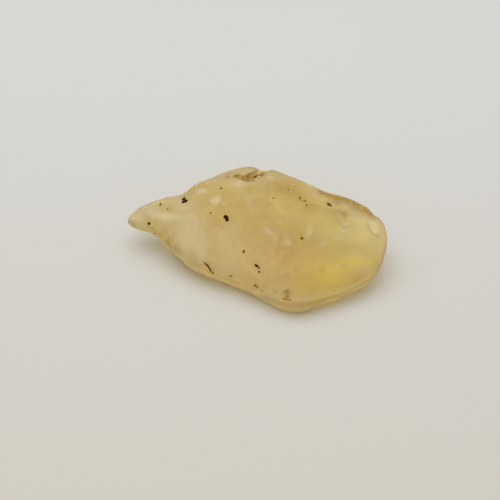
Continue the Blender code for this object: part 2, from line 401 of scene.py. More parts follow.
# The pixels of marks that are finer than the skin's own facets
FINE_PLACES = (
    (302.8, 198.8), (343.6, 228.8), (346, 221.8), (286.4, 299.2), (286.6, 293),
    (370, 230), (376, 235),
)

# How the skin is split finer round these, the scars, the pits and the long crack: within
# what distance, and how many cuts across each facet
FINE_SPLIT = (0.85, 1)
SCAR_SPLIT = (1.35, 2)
PIT_SPLIT = (0.62, 2)
CRACK_SPLIT = (0.30, 3)

# How far the lump may be seen aslant before a mark's true length is no longer worked out,
# and how far above or below a mark's middle it still reaches
MOST_SLANT = 0.35
LAY_DEPTH = 1.6

# A mark's rim wanders in and out: by what share, in how many lobes, and how far the lobes
# are turned for each millimetre of its length, and then of its width
LOBES_BY_LENGTH = (0.10, 3, 40)
LOBES_BY_WIDTH = (0.07, 5, 70)

# A pit is this much wider than its mark. It is full depth out to the first share of the way
# to its rim, and its wall ends at the second.
PIT_LIP = 0.06
PIT_WALL = (0.62, 1.12)

# How many times faster than a soft-edged mark a hump falls off
HUMP_FALL = 2

# A crack's groove: how deep it is, and how far out it is full and ends, in its own widths
CRACK_DEPTH = 0.10
CRACK_WALL = (0.4, 1.1)

# How many steps a path has for each stretch between its pixels, and how many rounds of
# averaging smooth its corners
CRACK_STEPS = 10
STREAK_STEPS = 4
SPLIT_STEPS = 2
PATH_ROUNDS = 12

# The dirt in a pit is a ball cut level this share of its depth above its middle. The cut lies
# just below the pit's rim, and crumbs this coarse and this far apart roughen the dirt.
DIRT_BRIM = 0.3
DIRT_BELOW_RIM = 0.01
DIRT_ROUGHNESS = 0.10
DIRT_GRAIN = 0.35

# The dirt in a crack is a bead with crumbs of its own. It lies this share of its width deep,
# and its ends are as thick as it is at these shares of its length.
BEAD_ROUGHNESS = 0.04
BEAD_GRAIN = 0.3
BEAD_SUNK = 0.2
BEAD_ENDS = (0.02, 0.98)

# The underside was longer in the sand than the top, so it is duller and dusty. The dust is
# full where the surface faces down by the first of these, and ends at the second, and its
# edge wanders: over what distances, and by how much.
DUST_FACING = (-0.50, 0.10)
DUST_EDGE = ((5.0, 0.35), (1.6, 0.25))

# Past CALM_FROM_X, which is reached over this length, what faces down more than this is clean
CLEAN_OVER = 1.0
CLEAN_FACING = (0.40, 0.60)

# The smallest swells that sand leaves: how far apart and how high
RIPPLES = ((1.9, 0.035), (0.9, 0.016))

# Dimples that grains have drilled: how far apart they are at least, the radius and depth of
# the widest, and the smallest one's share of both. The density, for each square metre, only
# has to be more than the spacing lets through.
DIMPLE_SPACING = 1.7
DIMPLE_RADIUS = 0.62
DIMPLE_DEPTH = 0.045
SMALLEST_DIMPLE = 0.35
DIMPLE_DENSITY = 1.0e6
DIMPLE_SEED = 7

# Milky patches in the glass, broad and small: how far apart they are, between which values
# of the noise they rise, and how much milk they hold
Milk = namedtuple("Milk", "spacing low high most")
BROAD_MILK = Milk(6.0, 0.42, 0.72, 0.14)
SMALL_MILK = Milk(1.1, 0.50, 0.75, 0.18)

# Stains and clouds fray over this distance, and the frost that the sand has ground is this
# fine and this deep. Real frost is finer, and is drawn this coarse so that it shows.
FRAY = 0.6
FROST_SPACING = 0.35
FROST_DEPTH = 0.02

# How much dust and the painted glow veil the glass, and what share of the light goes through
# it with no veil and with a full one
DUST_VEIL = 0.573
GLOW_VEIL = 0.35
CLEAR_SHARE = 0.887
VEILED_SHARE = 0.12

# The stain is amber up to this amount, and turns brown from there to 1
AMBER_AMOUNT = 0.5

# How far light spreads in the milky glass (mm), and how fast the clear glass takes it up
# (for each metre)
GLASS_SPREAD = 5.97
GLASS_DENSITY = 127.5

# How far apart the flecks in dry dirt are
DIRT_FLECKS = 0.2

# How far the table top reaches each way (metres), how far it is below the lump, and how far
# behind and before the lump its colour ends turning
TABLE_REACH = 3.0
FLOOR_GAP = 0.02
TABLE_TURN = 60

# The light. The lamp's place and width are in metres, and its power is in watts.
ROOM_BRIGHTNESS = 0.507
LAMP_PLACE = (-0.058, 0.13, 0.64)
LAMP_WIDTH = 0.83
LAMP_POWER = 2.655

# The kinds of node that are added most
MATH = "ShaderNodeMath"
MIX = "ShaderNodeMix"
NOISE = "ShaderNodeTexNoise"
RANGE = "ShaderNodeMapRange"

# The two colours that a Mix node mixes share their names with other inputs, so they are
# known by their numbers
FIRST_COLOUR = 6
SECOND_COLOUR = 7


def through_sections(values, x):
    """A natural cubic curve through one value of every section, read at each x."""
    xs = np.array([s.x for s in SECTIONS])
    ys = np.array(values, float)
    steps = np.diff(xs)
    count = len(xs)
    system = np.eye(count)
    right = np.zeros(count)
    for i in range(1, count - 1):
        system[i, i - 1 : i + 2] = steps[i - 1], 2 * (steps[i - 1] + steps[i]), steps[i]
        right[i] = 6 * ((ys[i + 1] - ys[i]) / steps[i] - (ys[i] - ys[i - 1]) / steps[i - 1])
    bend = np.linalg.solve(system, right)
    i = np.clip(np.searchsorted(xs, x) - 1, 0, count - 2)
    h = steps[i]
    a = (xs[i + 1] - x) / h
    b = (x - xs[i]) / h
    curved = ((a**3 - a) * bend[i] + (b**3 - b) * bend[i + 1]) * h**2 / 6
    return a * ys[i] + b * ys[i + 1] + curved


def end_rounding(x):
    """The share of its full size that a section has near either end, 0 at the very tip."""
    into_beak = np.clip((x - BEAK_TIP_X) / BEAK_ROUNDING, 0, 1)
    into_butt = np.clip((BUTT_END_X - x) / BUTT_ROUNDING, 0, 1)
    return np.sqrt(1 - (1 - into_beak) ** 2) * np.sqrt(1 - (1 - into_butt) ** 2)


def ring_places():
    """The x of every ring: evenly along the body, and by even turns round the ends."""
    beak_turn = np.linspace(0, math.pi / 2, BEAK_RINGS + 1)[1:]
    butt_turn = np.linspace(math.pi / 2, 0, BUTT_RINGS + 1)[:-1]
    beak = BEAK_TIP_X + BEAK_ROUNDING * (1 - np.cos(beak_turn))
    butt = BUTT_END_X - BUTT_ROUNDING * (1 - np.cos(butt_turn))
    body = np.linspace(beak[-1], butt[0], BODY_RINGS + 2)[1:-1]
    return np.concatenate([beak, body, butt])


def loft():
    """The plain lump as an array of rings of points."""
    x = ring_places()[:, None]
    angle = np.linspace(0, 2 * math.pi, POINTS_AROUND, endpoint=False)[None, :]
    read = {
        name: through_sections([getattr(section, name) for section in SECTIONS], x)
        for name in Section._fields
    }
    size = end_rounding(x)
    power = 2 / read["squareness"]
    across = np.sign(np.cos(angle)) * np.abs(np.cos(angle)) ** power
    across = across * read["half_width"] * size
    upward = np.sign(np.sin(angle)) * np.abs(np.sin(angle)) ** power
    upward = upward * read["half_thickness"] * size * np.where(upward < 0, BELLY, 1.0)
    lean = np.radians(read["lean"])
    y = read["y"] + across * np.cos(lean) - upward * np.sin(lean)
    z = read["z"] + across * np.sin(lean) + upward * np.cos(lean)
    return np.stack([np.broadcast_to(x, y.shape), y, z], axis=-1)


def above(distance, wear):
    """The part of a distance that is over 0, with the step at 0 rounded by the wear."""
    return (distance + np.sqrt(distance**2 + wear**2)) / 2


def grind(points, face):
    """Takes off what stands in front of a face."""
    facing = np.array(face.facing) / np.linalg.norm(face.facing)
    proud = (points - np.array(face.through)) @ facing
    return points - above(proud, face.wear)[..., None] * facing


def strike(points, flake):
    """Takes off what lies inside a flake's ball, and leaves its hollow."""
    centre = np.array(flake.centre)
    radii = np.array(flake.radii)
    offset = (points - centre) / radii
    reach = np.linalg.norm(offset, axis=-1, keepdims=True)
    wear = flake.wear / radii.mean()
    return centre + offset / reach * (1 + above(reach - 1, wear)) * radii


def swell(points, swells):
    """The height of slow swells at each point."""
    height = np.zeros(points.shape[:-1])
    for spacing, amount in swells:
        for index in np.ndindex(height.shape):
            height[index] += amount * noise.noise(Vector(points[index] / spacing))
    return height


def outward(points):
    """The way the loft's surface faces at each point."""
    around = np.roll(points, -1, axis=1) - np.roll(points, 1, axis=1)
    along = np.gradient(points, axis=0)
    facing = np.cross(along, around)
    return -facing / np.linalg.norm(facing, axis=-1, keepdims=True)


def shaped_rings():
    """The loft after its faces, flakes, swells and foot are worked into it."""
    points = loft()
    for face in FACES:
        points = grind(points, face)
    for flake in FLAKES:
        points = strike(points, flake)
    points = points + swell(points, SWELLS)[..., None] * outward(points)
    under = points[..., 2] < FOOT_HEIGHT
    points[under] = stood_on(points[under])
    return points


def stood_on(points):
    """The points of the underside, raised to the uneven patch that the lump stands on."""
    inside = step(0.0, FOOT_RIM, FOOT_HEIGHT - points[:, 2])
    calm = 1 - FOOT_CALM * step(CALM_FROM_X - FOOT_SPACING, CALM_FROM_X, points[:, 0])
    hollow = np.array([noise.noise(Vector((x, y, 0)) / FOOT_SPACING) for x, y, _ in points])
    rise = FOOT_HOLLOWS * np.clip(hollow + FOOT_BIAS, 0, 1) * inside * calm
    return np.column_stack([points[:, 0], points[:, 1], FOOT_HEIGHT + rise])


def middle_of(rings):
    """The point of the lump's form that the library's frame has at its origin."""
    low = rings.min(axis=(0, 1))
    high = rings.max(axis=(0, 1))
    low[0] = min(low[0], rings[0].mean(axis=0)[0] - TIP_RISE)
    high[0] = max(high[0], rings[-1].mean(axis=0)[0] + TIP_RISE)
    return np.array(((low[0] + high[0]) / 2, (low[1] + high[1]) / 2, FOOT_HEIGHT))


def bridge(bm, rings):
    """Closes the rings into one skin: a band between each two, and a point at either end."""
    loops = [[bm.verts.new(point) for point in ring] for ring in rings]
    for first, second in zip(loops, loops[1:]):
        for i in range(POINTS_AROUND):
            j = (i + 1) % POINTS_AROUND
            bm.faces.new((first[i], first[j], second[j], second[i]))
    beak = bm.verts.new(rings[0].mean(axis=0) - np.array((TIP_RISE, 0, 0)))
    butt = bm.verts.new(rings[-1].mean(axis=0) + np.array((TIP_RISE, 0, 0)))
    for i in range(POINTS_AROUND):
        j = (i + 1) % POINTS_AROUND
        bm.faces.new((loops[0][j], loops[0][i], beak))
        bm.faces.new((loops[-1][i], loops[-1][j], butt))


# A flat frame laid on the lump: its middle, and the ways that lie along it, across it and
# straight out of the lump
Lay = namedtuple("Lay", "middle along across out")


def laid(middle, out, level, turn):
    """A lay whose length is turned up from the level direction."""
    out = np.array(out) / np.linalg.norm(out)
    level = level - out * (level @ out)
    level = level / np.linalg.norm(level)
    up = np.cross(out, level)
    turn = math.radians(turn)
    along = level * math.cos(turn) + up * math.sin(turn)
    return Lay(np.array(middle), along, np.cross(out, along), out)


def seen_at(tree, pixel):
    """The lay of the lump's surface that shows at a pixel of the photograph, or that is
    nearest to it where the pixel is just off the outline."""
    right = (pixel[0] - PICTURE_WIDTH / 2) / PIXELS_PER_SLOPE
    rise = (PICTURE_WIDTH / 2 - pixel[1]) / PIXELS_PER_SLOPE
    beam = FORWARD + right * SIDEWAYS + rise * UPWARD
    place, facing, _, _ = tree.ray_cast(Vector(CAMERA_PLACE), Vector(beam).normalized())
    if place is None:
        spots = [Vector(CAMERA_PLACE + beam * reach) for reach in BEAM_SEARCH]
        place, facing, _, _ = min((tree.find_nearest(spot) for spot in spots), key=lambda hit: hit[3])
    return laid(place, facing, SIDEWAYS, 0)


def shown_by(tree, mark):
    """The lay of a mark, and the length and width that it has on the lump itself, where it is
    longer than it shows if the lump is seen aslant."""
    lay = seen_at(tree, mark.pixel)
    turn = math.radians(mark.turn)
    shown = SIDEWAYS * math.cos(turn) + UPWARD * math.sin(turn)
    slant = max(-(FORWARD @ lay.out), MOST_SLANT)
    along = shown + FORWARD * (shown @ lay.out) / slant
    longer = np.linalg.norm(along)
    along = along - lay.out * (along @ lay.out)
    along = along / np.linalg.norm(along)
    lay = Lay(lay.middle, along, np.cross(lay.out, along), lay.out)
    return lay, mark.length * PIXEL * longer, mark.width * PIXEL / (slant * longer)


def nearest_to(tree, place, turn):
    """The lay of the lump's surface nearest to a place. Its level is sideways, or upward
    where the surface nearly faces sideways."""
    place, facing, _, _ = tree.find_nearest(Vector(place))
    level = SIDEWAYS if abs(facing.x) < 0.9 else UPWARD
    return laid(place, facing, level, turn)


def refine(bm, places, reach, cuts):
    """Splits the facets that lie within reach of any of the places."""
    faces = list(bm.faces)
    centres = np.array([face.calc_center_median() for face in faces])
    near = np.zeros(len(faces), bool)
    for place in places:
        near |= np.linalg.norm(centres - place, axis=1) < reach
    edges = {edge for face, is_near in zip(faces, near) if is_near for edge in face.edges}
    bmesh.ops.subdivide_edges(bm, edges=list(edges), cuts=cuts, use_grid_fill=True)


def step(low, high, value):
    """0 below low, 1 above high, and a soft rise between."""
    share = np.clip((value - low) / (high - low), 0, 1)
    return share * share * (3 - 2 * share)


def lobed(angle, size, lobes):
    """How far a rim wanders at each angle, for a mark of that size."""
    share, count, turn = lobes
    return share * np.sin(count * angle + size * turn)


def share_across(points, lay, length, width):
    """How far out each point is on an oval laid on the lump: 0 in its middle, 1 on its rim."""
    offset = points - lay.middle
    u = offset @ lay.along / (length / 2)
    v = offset @ lay.across / (width / 2)
    w = offset @ lay.out / LAY_DEPTH
    angle = np.arctan2(v, u)
    ragged = 1 + lobed(angle, length, LOBES_BY_LENGTH) + lobed(angle, width, LOBES_BY_WIDTH)
    return np.sqrt(u * u + v * v + w**4) * ragged


def press_pit(points, lay, length, width, depth):
    """Pushes a steep-walled pit into the lump."""
    rim = share_across(points, lay, length + PIT_LIP, width + PIT_LIP)
    return points - (depth * (1 - step(*PIT_WALL, rim)))[:, None] * lay.out


def press_dish(points, lay, length, width, depth):
    """Pushes a shallow dish with a crisp rim into the lump."""
    rim = share_across(points, lay, length, width)
    return points - (depth * np.clip(1 - rim**2, 0, 1))[:, None] * lay.out


def distance_to_path(points, path):
    """How far each point is from the nearest stretch of a path."""
    nearest = np.full(len(points), np.inf)
    for start, end in zip(path, path[1:]):
        run = end - start
        share = np.clip((points - start) @ run / (run @ run), 0, 1)
        nearest = np.minimum(nearest, np.linalg.norm(points - start - share[:, None] * run, axis=1))
    return nearest


def linear(hex_colour):
    """An sRGB hex colour as linear red, green, blue and a full alpha."""
    parts = [int(hex_colour[i : i + 2], 16) / 255 for i in (0, 2, 4)]
    return tuple(p / 12.92 if p <= 0.04045 else ((p + 0.055) / 1.055) ** 2.4 for p in parts) + (1.0,)


def add(tree, kind, inputs=None, **settings):
    """Adds a node. Each of its inputs is given a value, the socket that feeds it, or the
    node that feeds it from its first output."""
    node = tree.nodes.new(kind)
    for name, value in settings.items():
        setattr(node, name, value)
    for name, value in (inputs or {}).items():
        if isinstance(value, bpy.types.Node):
            value = next(socket for socket in value.outputs if socket.enabled)
        if isinstance(value, bpy.types.NodeSocket):
            tree.links.new(value, node.inputs[name])
        else:
            node.inputs[name].default_value = value
    return node


def blank_material(name):
    """A material with nothing in it, its tree, and the place that its patterns read."""
    material = bpy.data.materials.new(name)
    material.use_nodes = True
    tree = material.node_tree
    tree.nodes.clear()
    return material, tree, add(tree, "ShaderNodeTexCoord").outputs["Object"]


def per_mm(spacing):
    """The scale of a pattern whose features are that many millimetres apart."""
    return 1 / (spacing * MM)


def patches(tree, place, milk):
    """Soft patches: 0 where the noise is low, and as much milk as they hold where it is high."""
    grain = add(tree, NOISE, {"Vector": place, "Scale": per_mm(milk.spacing), "Detail": 3.0})
    return add(
        tree, RANGE,
        {"Value": grain, "From Min": milk.low, "From Max": milk.high, "To Max": milk.most},
    )


# Impact glass of nearly pure silica, which lay for ages in blown sand. The sand has ground
# its skin satin, so it shows a broad soft sheen and no sharp reflection. Inside it is straw
# yellow and see-through, deeper where it is thicker. Tiny bubbles make it milky in patches,
# and iron has stained it amber and brown where the skin is broken. Its colour also holds
# painted light: a brighter yellow glow where light gathers, pale sheen on upward faces and
# bruised edges that catch the light, and painted shade on the band under the front edge.
def worn_silica_glass():
    """The glass, with its clouds, stains, dust, painted glow, and painted sheen and shade where the skin
    says.
    """
    material, tree, place = blank_material("wind_worn_silica_glass")
    cloud_and_painted_light, stain_and_shade, dust, painted_glow = (
        add(tree, "ShaderNodeAttribute", attribute_name=name).outputs["Fac"]
        for name in ("cloud_and_painted_light", "stain_and_shade", "dust", "painted_glow")
    )
    # The noise is a half on average, so with a half more it frays an edge about its own place
    fray = add(tree, NOISE, {"Vector": place, "Scale": per_mm(FRAY), "Detail": 4.0})
    fray = add(tree, MATH, {0: fray, 1: 0.5}, operation="ADD")
    # The stain also carries the painted shade under the front edge
    iron_and_shade = add(tree, MATH, {0: stain_and_shade, 1: fray}, operation="MULTIPLY", use_clamp=True)

    # Where the glow is painted the patches of milk fade out, and the clouds add their own milk over
    # them, with their painted sheen and glow
    broad, small = (patches(tree, place, milk) for milk in (BROAD_MILK, SMALL_MILK))
    milk = add(tree, MATH, {0: broad, 1: small}, operation="ADD")
    impure = add(tree, MATH, {0: 1.0, 1: painted_glow}, operation="SUBTRACT")
    milk = add(tree, MATH, {0: milk, 1: impure}, operation="MULTIPLY")
    milk = add(tree, MATH, {0: cloud_and_painted_light, 1: fray, 2: milk}, operation="MULTIPLY_ADD", use_clamp=True)

    # What veils the glass keeps light from going through it
    veil = milk
    for cover, share in ((dust, DUST_VEIL), (painted_glow, GLOW_VEIL)):
        veil = add(tree, MATH, {0: cover, 1: share, 2: veil}, operation="MULTIPLY_ADD")
    veil = add(tree, MATH, {0: veil, 1: iron_and_shade}, operation="ADD", use_clamp=True)
    through = add(tree, RANGE, {"Value": veil, "To Min": CLEAR_SHARE, "To Max": VEILED_SHARE})

    amber = add(tree, RANGE, {"Value": iron_and_shade, "From Max": AMBER_AMOUNT})
    brown = add(tree, RANGE, {"Value": iron_and_shade, "From Min": AMBER_AMOUNT})
    tint = linear("FFFCE6")
    # The milk's pale tint also carries painted sheen and glow, FFE46C is the painted glow, and the amber
    # also carries painted shade under the front edge
    for share, colour in (
        (milk, "F0DFB4"), (painted_glow, "FFE46C"), (dust, "F2E2AC"), (amber, "BC9C48"), (brown, "643A1C")
    ):
        tint = add(
            tree, MIX, {"Factor": share, FIRST_COLOUR: tint, SECOND_COLOUR: linear(colour)},
            data_type="RGBA",
        )

    frost = add(tree, NOISE, {"Vector": place, "Scale": per_mm(FROST_SPACING), "Detail": 2.0})
    bump = add(tree, "ShaderNodeBump", {"Height": frost, "Strength": 0.25, "Distance": FROST_DEPTH * MM})
    shader = add(
        tree, "ShaderNodeBsdfPrincipled",
        {
            "Base Color": tint, "Roughness": 0.70, "IOR": 1.446, "Transmission Weight": through,
            "Normal": bump, "Subsurface Weight": 0.304, "Subsurface Radius": (1.0, 0.894, 0.231),
            "Subsurface Scale": GLASS_SPREAD * MM,
        },
    )
    depth = add(
        tree, "ShaderNodeVolumeAbsorption", {"Color": linear("FEF326"), "Density": GLASS_DENSITY}
    )
    add(tree, "ShaderNodeOutputMaterial", {"Surface": shader, "Volume": depth})
    return material


# Dry desert clay and iron oxide, which the wind has packed into the pits. It gives the eye
# small dead-matt specks, black where the iron is rich and brown where it is poor.
def desert_dirt(name, colour, dark):
    """The dirt, flecked between a colour and a darker one."""
    material, tree, place = blank_material(name)
    flecks = add(tree, NOISE, {"Vector": place, "Scale": per_mm(DIRT_FLECKS), "Detail": 3.0})
    tint = add(
        tree, MIX,
        {"Factor": flecks, FIRST_COLOUR: linear(dark), SECOND_COLOUR: linear(colour)},
        data_type="RGBA",
    )
    shader = add(
        tree, "ShaderNodeBsdfPrincipled",
        {"Base Color": tint, "Roughness": 0.95, "Specular IOR Level": 0.08},
    )
    add(tree, "ShaderNodeOutputMaterial", {"Surface": shader})
    return material


# Melamine laminate, pressed matt. It gives the eye an even off-white with a dull sheen, a
# little warmer towards the front.
def pale_table():
    """The table top's laminate."""
    material, tree, place = blank_material("pale_laminate")
    depth = add(tree, "ShaderNodeSeparateXYZ", {"Vector": place}).outputs["Y"]
    nearness = add(
        tree, RANGE,
        {"Value": depth, "From Min": TABLE_TURN * MM, "From Max": -TABLE_TURN * MM},
    )
    tint = add(
        tree, MIX,
        {"Factor": nearness, FIRST_COLOUR: linear("E4E4E2"), SECOND_COLOUR: linear("E0DBD0")},
        data_type="RGBA",
    )
    shader = add(tree, "ShaderNodeBsdfPrincipled", {"Base Color": tint, "Roughness": 0.6})
    add(tree, "ShaderNodeOutputMaterial", {"Surface": shader})
    return material


def new_tree(name, **sizes):
    """A geometry tree and its first node, with a named input for each size and the material."""
    tree = bpy.data.node_groups.new(name, "GeometryNodeTree")
    tree.interface.new_socket("Geometry", in_out="OUTPUT", socket_type="NodeSocketGeometry")
    for label, kind in {"Geometry": "Geometry", **sizes, "Material": "Material"}.items():
        tree.interface.new_socket(label, in_out="INPUT", socket_type="NodeSocket" + kind)
    return tree, add(tree, "NodeGroupInput")


def close_tree(tree, given, geometry):
    """Ends a tree: its instances made real, and its material set."""
    real = add(tree, "GeometryNodeRealizeInstances", {"Geometry": geometry})
    dressed = add(
        tree, "GeometryNodeSetMaterial", {"Geometry": real, "Material": given.outputs["Material"]}
    )
    add(tree, "NodeGroupOutput", {"Geometry": dressed})
    return tree


def grown(obj, tree, values):
    """Runs a tree on an object, and keeps the result as its plain mesh."""
    modifier = obj.modifiers.new(tree.name, "NODES")
    modifier.node_group = tree
    for item in tree.interface.items_tree:
        if item.item_type == "SOCKET" and item.in_out == "INPUT" and item.name in values:
            modifier[item.identifier] = values[item.name]
    graph = bpy.context.evaluated_depsgraph_get()
    mesh = bpy.data.meshes.new_from_object(
        obj.evaluated_get(graph), preserve_all_data_layers=True, depsgraph=graph
    )
    obj.modifiers.remove(modifier)
    obj.data = mesh
    mesh.name = obj.name
    mesh.shade_smooth()
    return obj


def wind_dimples():
    """Dimples scattered over a surface, each pressed in round its own point."""
    tree, given = new_tree("wind_dimples", Spacing="Float", Radius="Float", Depth="Float", Seed="Int")
    surface, spacing, radius, depth, seed = (
        given.outputs[name] for name in ("Geometry", "Spacing", "Radius", "Depth", "Seed")
    )
    scattered = add(
        tree, "GeometryNodeDistributePointsOnFaces",
        {"Mesh": surface, "Distance Min": spacing, "Density Max": DIMPLE_DENSITY, "Seed": seed},
        distribute_method="POISSON",
    )
    share = add(
        tree, "FunctionNodeRandomValue", {"Min": SMALLEST_DIMPLE, "Max": 1.0, "Seed": seed},
        data_type="FLOAT",
    )
    points = add(
        tree, "GeometryNodeStoreNamedAttribute", {"Geometry": scattered, "Name": "size", "Value": share},
        data_type="FLOAT", domain="POINT",
    )
    here = add(tree, "GeometryNodeInputPosition")
    nearest = add(
        tree, "GeometryNodeSampleNearest", {"Geometry": points, "Sample Position": here}, domain="POINT"
    )
    stored = add(tree, "GeometryNodeInputNamedAttribute", {"Name": "size"}, data_type="FLOAT")
    centre, size = (
        add(
            tree, "GeometryNodeSampleIndex", {"Geometry": points, "Value": value, "Index": nearest},
            data_type=kind, domain="POINT",
        )
        for value, kind in ((here, "FLOAT_VECTOR"), (stored, "FLOAT"))
    )
    away = add(tree, "ShaderNodeVectorMath", {0: here, 1: centre}, operation="DISTANCE")
    reach = add(tree, MATH, {0: radius, 1: size}, operation="MULTIPLY")
    sunk = add(
        tree, RANGE, {"Value": away, "From Max": reach, "To Min": 1.0, "To Max": 0.0},
        interpolation_type="SMOOTHSTEP",
    )
    deepest = add(tree, MATH, {0: depth, 1: size}, operation="MULTIPLY")
    push = add(tree, MATH, {0: sunk, 1: deepest}, operation="MULTIPLY")
    inward = add(tree, MATH, {0: push, 1: -1.0}, operation="MULTIPLY")
    facing = add(tree, "GeometryNodeInputNormal")
    offset = add(tree, "ShaderNodeVectorMath", {0: facing, "Scale": inward}, operation="SCALE")
    pressed = add(tree, "GeometryNodeSetPosition", {"Geometry": surface, "Offset": offset})
    return close_tree(tree, given, pressed)


def crumbled(tree, given, surface):
    """A surface made crumbly along its normals."""
    here = add(tree, "GeometryNodeInputPosition")
    crumbs = add(tree, NOISE, {"Vector": here, "Scale": given.outputs["Grain"], "Detail": 2.0})
    centred = add(tree, MATH, {0: crumbs, 1: 0.5}, operation="SUBTRACT")
    height = add(tree, MATH, {0: centred, 1: given.outputs["Roughness"]}, operation="MULTIPLY")
    facing = add(tree, "GeometryNodeInputNormal")
    offset = add(tree, "ShaderNodeVectorMath", {0: facing, "Scale": height}, operation="SCALE")
    return add(tree, "GeometryNodeSetPosition", {"Geometry": surface, "Offset": offset})


def packed_dirt():
    """A rough grain on each point, stretched by the point's own sizes and turned to its lay."""
    tree, given = new_tree("packed_dirt", Roughness="Float", Grain="Float", Brim="Float")
    ball = add(tree, "GeometryNodeMeshIcoSphere", {"Radius": 1.0, "Subdivisions": 4})
    here = add(tree, "GeometryNodeInputPosition")
    parts = add(tree, "ShaderNodeSeparateXYZ", {"Vector": here}).outputs
    level = add(tree, MATH, {0: parts["Z"], 1: given.outputs["Brim"]}, operation="MINIMUM")
    levelled = add(tree, "ShaderNodeCombineXYZ", {"X": parts["X"], "Y": parts["Y"], "Z": level})
    filled = add(tree, "GeometryNodeSetPosition", {"Geometry": ball, "Position": levelled})
    size, out, along = (
        add(tree, "GeometryNodeInputNamedAttribute", {"Name": name}, data_type="FLOAT_VECTOR")
        for name in ("size", "out", "along")
    )
    turn = add(
        tree, "FunctionNodeAxesToRotation", {"Primary Axis": out, "Secondary Axis": along},
        primary_axis="Z", secondary_axis="X",
    )
    grains = add(
        tree, "GeometryNodeInstanceOnPoints",
        {"Points": given.outputs["Geometry"], "Instance": filled, "Rotation": turn, "Scale": size},
    )
    real = add(tree, "GeometryNodeRealizeInstances", {"Geometry": grains})
    return close_tree(tree, given, crumbled(tree, given, real))


def dirt_along_paths():
    """A crumbly bead along each path, as thick as the path's own radius."""
    tree, given = new_tree("dirt_along_paths", Roughness="Float", Grain="Float")
    radius = add(tree, "GeometryNodeInputNamedAttribute", {"Name": "radius"}, data_type="FLOAT")
    paths = add(tree, "GeometryNodeMeshToCurve", {"Mesh": given.outputs["Geometry"]})
    ring = add(tree, "GeometryNodeCurvePrimitiveCircle", {"Resolution": 8, "Radius": 1.0})
    bead = add(
        tree, "GeometryNodeCurveToMesh",
        {"Curve": paths, "Profile Curve": ring, "Scale": radius, "Fill Caps": True},
    )
    return close_tree(tree, given, crumbled(tree, given, bead))


def object_of(name, data):
    """A new object in the scene, at the origin: a mesh, a lamp or a camera."""
    obj = bpy.data.objects.new(name, data)
    bpy.context.scene.collection.objects.link(obj)
    return obj


def store(mesh, name, kind, values):
    """Gives every point of a mesh a named value."""
    attribute = mesh.attributes.new(name, kind, "POINT")
    field = "vector" if kind == "FLOAT_VECTOR" else "value"
    attribute.data.foreach_set(field, np.ascontiguousarray(values, np.float32).ravel())


def dirt_in_pits(name, pits, material):
    """The dirt that fills some pits, as one piece."""
    places, sizes, outs, alongs = [], [], [], []
    for lay, length, width, depth in pits:
        thick = depth / (1 + DIRT_BRIM)
        places.append(lay.middle - lay.out * (DIRT_BELOW_RIM + thick * DIRT_BRIM))
        sizes.append((length / 2, width / 2, thick))
        outs.append(lay.out)
        alongs.append(lay.along)
    mesh = bpy.data.meshes.new(name)
    mesh.from_pydata([tuple(place * MM) for place in np.array(places)], [], [])
    store(mesh, "size", "FLOAT_VECTOR", np.array(sizes) * MM)
    store(mesh, "out", "FLOAT_VECTOR", outs)
    store(mesh, "along", "FLOAT_VECTOR", alongs)
    sizes = {"Roughness": DIRT_ROUGHNESS * MM, "Grain": per_mm(DIRT_GRAIN), "Brim": DIRT_BRIM}
    return grown(object_of(name, mesh), packed_dirt(), {**sizes, "Material": material})


def smooth_path(tree, mark, steps):
    """The lays along a long mark, evenly through its pixels."""
    pixels = np.array(mark.pixels)
    runs = np.concatenate([[0], np.cumsum(np.linalg.norm(np.diff(pixels, axis=0), axis=1))])
    shares = np.linspace(0, runs[-1], steps * (len(pixels) - 1) + 1)
    x = np.interp(shares, runs, pixels[:, 0])
    y = np.interp(shares, runs, pixels[:, 1])
    for _ in range(PATH_ROUNDS):
        x[1:-1] = (x[:-2] + x[1:-1] + x[2:]) / 3
        y[1:-1] = (y[:-2] + y[1:-1] + y[2:]) / 3
    return [seen_at(tree, pixel) for pixel in zip(x, y)]


def dirt_in_cracks(name, paths, material):
    """The dirt that lies along the cracks, as one piece."""
    points, edges, radii = [], [], []
    for lays, width in paths:
        first = len(points)
        shares = np.linspace(0, 1, len(lays))
        girth = width / 2 * np.sqrt(np.sin(math.pi * np.clip(shares, *BEAD_ENDS)))
        points += [lay.middle - lay.out * width * BEAD_SUNK for lay in lays]
        radii += list(girth)
        edges += [(first + i, first + i + 1) for i in range(len(lays) - 1)]
    mesh = bpy.data.meshes.new(name)
    mesh.from_pydata([tuple(point * MM) for point in points], edges, [])
    store(mesh, "radius", "FLOAT", np.array(radii) * MM)
    sizes = {"Roughness": BEAD_ROUGHNESS * MM, "Grain": per_mm(BEAD_GRAIN)}
    return grown(object_of(name, mesh), dirt_along_paths(), {**sizes, "Material": material})


def streaked(points, tree, streaks):
    """How much of some long marks there is at each point."""
    amount = np.zeros(len(points))
    for streak in streaks:
        lays = smooth_path(tree, streak, STREAK_STEPS)
        away = distance_to_path(points, [lay.middle for lay in lays]) / (streak.width * PIXEL)
        amount = np.maximum(amount, streak.amount * np.exp(-(away**2)))
    return amount


def spotted(points, tree, marks):
    """How much of some soft-edged marks there is at each point."""
    amount = np.zeros(len(points))
    for mark in marks:
        spread = share_across(points, *shown_by(tree, mark))
        amount = np.maximum(amount, mark.amount * np.exp(-(spread**2)))
    return amount


def dusted(points, facing, middle):
    """How much dust there is at each point."""
    dust = 1 - step(*DUST_FACING, facing[:, 2] + swell(points, DUST_EDGE))
    near_end = step(CALM_FROM_X - CLEAN_OVER, CALM_FROM_X, points[:, 0] + middle[0])
    return dust * (1 - near_end * step(*CLEAN_FACING, -facing[:, 2]))


